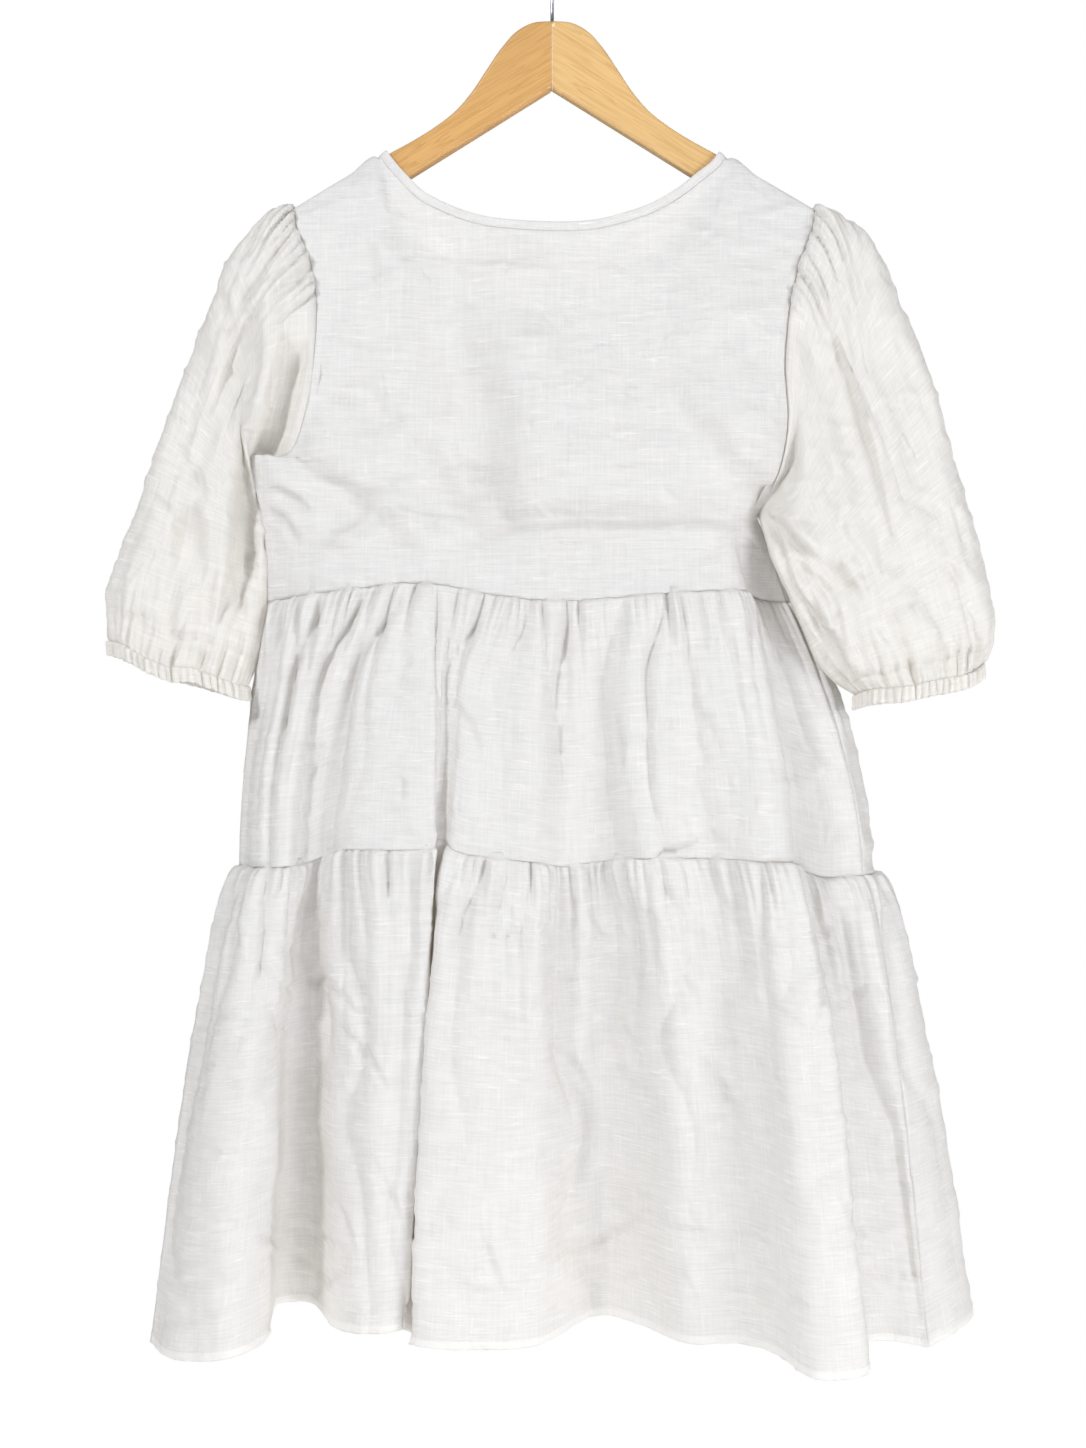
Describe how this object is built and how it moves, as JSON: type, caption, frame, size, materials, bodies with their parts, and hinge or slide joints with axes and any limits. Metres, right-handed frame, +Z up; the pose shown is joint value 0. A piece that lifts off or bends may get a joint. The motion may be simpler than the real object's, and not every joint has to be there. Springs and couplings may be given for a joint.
{
  "type": "smock dress on hanger",
  "caption": "White tiered smock dress with gathered puff sleeves, shirred cuffs and a bound round neck, hanging on a flat wooden hanger.",
  "frame": {"origin": "the highest point on the inside of the hook's crook, which bears on a rail", "axes": "+Z up, the dress's back faces -Y, +X to the right as seen facing its back"},
  "size_m": [0.6739, 0.2022, 1.0741],
  "materials": {
    "cloth": "slub linen and cotton, matt",
    "wood": "clear satin varnish",
    "wire": "satin"
  },
  "bodies": {
    "root": {"yoke_back": "cloth", "yoke_front": "cloth", "neck_binding": "cloth", "sleeve_left": "cloth", "sleeve_right": "cloth", "cuff_left": "cloth", "cuff_right": "cloth", "tier1_back": "cloth", "tier1_front": "cloth", "tier2_back": "cloth", "tier2_front": "cloth", "hanger_left": "wood", "hanger_right": "wood", "hanger_hook": "wire"}
  },
  "joints": []
}
